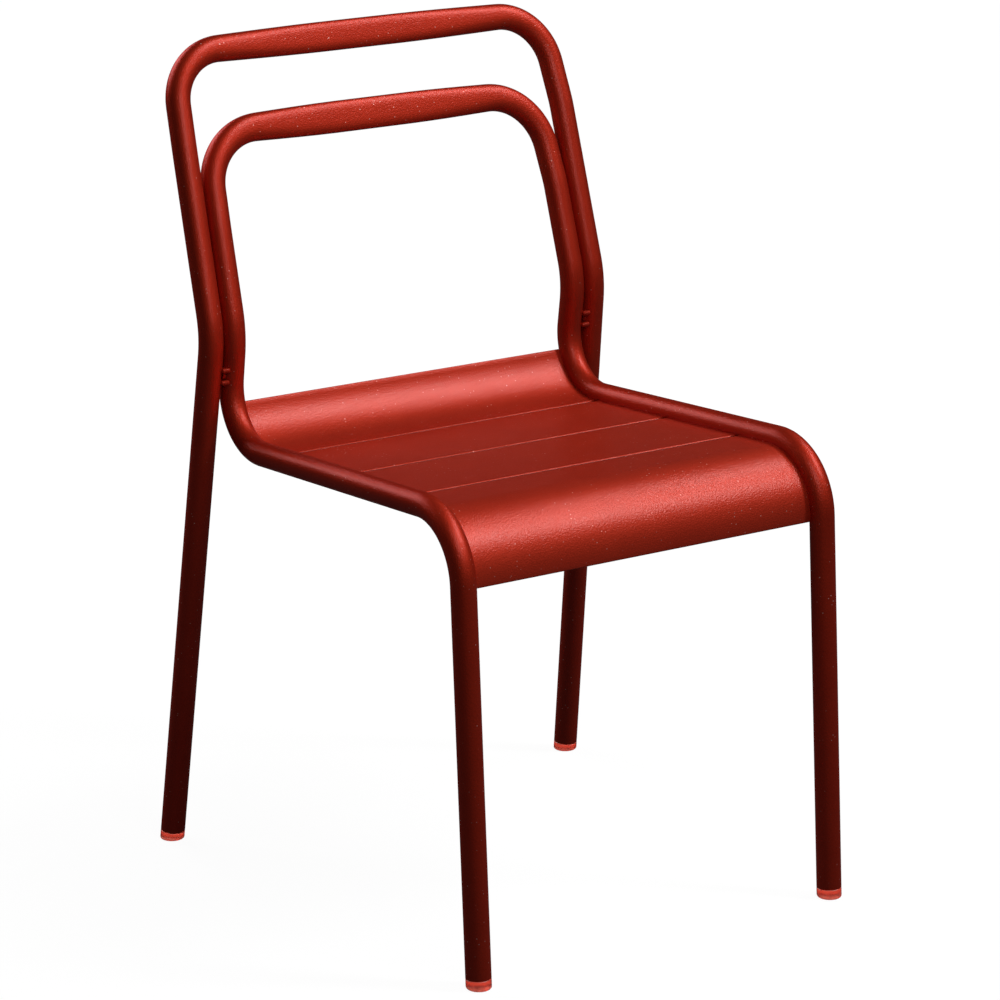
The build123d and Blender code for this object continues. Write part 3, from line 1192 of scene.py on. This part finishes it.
@dataclass
class Studio:
    """White floor and background, soft lamps and the camera."""

    lamps: tuple[SoftLamp, ...] = (
        SoftLamp("key_softbox", 47.0, 50.0, distance=6.0, size=(0.8, 2.6), power=160.0),
        SoftLamp(
            "side_softbox", 94.0, 50.0, distance=2.0, size=(0.7, 0.35), power=8.0,
            aim=(0.0, -0.27, 0.43),
        ),
        SoftLamp(
            "front_panel", -8.0, 28.0, distance=1.3, size=(0.7, 0.6), power=4.8,
            aim=(-0.08, 0.2, 0.7),
        ),
        SoftLamp("rear_softbox", -163.0, 29.0, distance=2.6, size=(1.8, 1.2), power=25.0),
    )
    floor_half: float = 30.0
    floor_grey: str = "#4A4A4A"
    floor_white: float = 0.96
    shadow_reach: float = 1.6
    ambient: float = 0.035
    background: float = 1.0
    mirrored_background: float = 0.04
    eye: tuple[float, float, float] = (-2.2818, -3.3449, 1.5447)
    look_at: tuple[float, float, float] = (-0.0187, -0.0162, 0.3899)
    lens: float = 152.3

    def build(self) -> None:
        """Set up the stage and the view."""
        self.world()
        self.floor()
        for lamp in self.lamps:
            lamp.build()
        self.camera()
        bpy.context.scene.view_settings.view_transform = "Standard"

    def shown_strength(
        self, nodes: ShaderNodes, seen: float, unseen: float
    ) -> bpy.types.NodeSocket:
        """Strength of a white surface by what looks at it.

        Args:
            nodes: Shader that takes the nodes.
            seen: Strength for the camera and through clear pieces.
            unseen: Strength for the light that it sheds.

        Returns:
            Socket with the strength. Gloss sees the mirrored share of it.
        """
        path = nodes.add("LightPath").outputs
        rays = {0: path["Is Camera Ray"], 1: path["Is Transmission Ray"]}
        straight = nodes.add("Math", rays, operation="MAXIMUM").outputs["Value"]
        strengths = {"Value": straight, "To Min": unseen, "To Max": seen}
        lit = nodes.add("MapRange", strengths).outputs["Result"]
        mirrored = {0: path["Is Glossy Ray"], 1: self.mirrored_background - unseen, 2: lit}
        return nodes.add("Math", mirrored, operation="MULTIPLY_ADD").outputs["Value"]

    def world(self) -> None:
        """White background that sheds only a low, even light."""
        world = bpy.data.worlds.new("studio_world")
        nodes = ShaderNodes(world)
        strength = self.shown_strength(nodes, self.background, self.ambient)
        white = nodes.add("Background", {"Color": srgb(WHITE), "Strength": strength})
        nodes.add("OutputWorld", {"Surface": white.outputs[0]})
        bpy.context.scene.world = world

    def floor(self) -> None:
        """Pale floor that takes the chair's shadow and is open from below."""
        half = self.floor_half
        mesh = bpy.data.meshes.new("studio_floor")
        corners = [(-half, -half, 0), (half, -half, 0), (half, half, 0), (-half, half, 0)]
        mesh.from_pydata(corners, [], [(0, 1, 2, 3)])
        floor = scene_object("studio_floor", mesh)
        material = bpy.data.materials.new("studio_paper_matt")
        nodes = ShaderNodes(material)
        paper = nodes.add("BsdfDiffuse", {"Color": srgb(self.floor_grey)})
        spot = nodes.add("TexCoord").outputs["Object"]
        distance = nodes.add("VectorMath", {0: spot}, operation="LENGTH").outputs["Value"]
        fade = {"Value": distance, "From Min": self.shadow_reach / 2, "From Max": self.shadow_reach}
        fade |= {"To Min": self.floor_white, "To Max": self.background}
        whiteness = nodes.add("MapRange", fade).outputs["Result"]
        shown = self.shown_strength(nodes, seen=1.0, unseen=0.0)
        strength = nodes.add("Math", {0: shown, 1: whiteness}, operation="MULTIPLY").outputs[0]
        white = nodes.add("Emission", {"Color": srgb(WHITE), "Strength": strength})
        lit = nodes.add("AddShader", {0: paper.outputs[0], 1: white.outputs[0]})
        below = nodes.add("NewGeometry").outputs["Backfacing"]
        clear = nodes.add("BsdfTransparent")
        surface = nodes.add("MixShader", {0: below, 1: lit.outputs[0], 2: clear.outputs[0]})
        nodes.add("OutputMaterial", {"Surface": surface.outputs[0]})
        mesh.materials.append(material)
        floor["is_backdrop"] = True

    def camera(self) -> None:
        """Long lens in front of the chair, on the side of its left-hand half."""
        data = bpy.data.cameras.new("studio_camera")
        data.lens = self.lens
        camera = scene_object("studio_camera", data)
        camera.location = Vector(self.eye)
        toward = Vector(self.look_at) - Vector(self.eye)
        camera.rotation_euler = toward.to_track_quat("-Z", "Y").to_euler()
        bpy.context.scene.camera = camera


def write_sizes() -> None:
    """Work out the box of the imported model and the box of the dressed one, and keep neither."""
    boxes = {"cad": cad_box, "visual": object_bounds()}
    {name: [list(corner) for corner in box] for name, box in boxes.items()}


def main() -> None:
    """Build the chair, piece by piece, and the studio round it."""
    logging.basicConfig(level=logging.INFO, format="%(message)s")
    lines = ChairLines()
    # The sheet's coat paints shade into the gaps between slats.
    coat = PowderCoat(has_painted_gap_shade=True).material()
    # The tubes take a copy of the coat with darker colours, which is painted shade, and with more
    # flake and a thinner film.
    tube_coat_painted_darker = PowderCoat(
        name="polyester_powder_coat_metallic_satin_on_tube",
        thin_colour="#A22513",
        full_colour="#BC331C",
        flake_share=0.8,
        film_weight=0.28,
    ).material()
    # The welds take a darker, duller copy of the coat; its darker colours are painted shade.
    weld_coat = PowderCoat(
        name="polyester_powder_coat_over_welds",
        thin_colour="#962516",
        full_colour="#A82D1B",
        roughness=0.62,
        film_weight=0.15,
    ).material()
    HoopFrames(lines, tube_coat_painted_darker).build()
    SeatSlats(lines, coat).build()
    spacers = Spacers(lines, tube_coat_painted_darker)
    spacers.build()
    WeldBeads(lines, spacers, weld_coat).build()
    FootGlides(lines, GlidePlastic().material()).build()
    Studio().build()
    write_sizes()


if __name__ == "__main__":
    main()
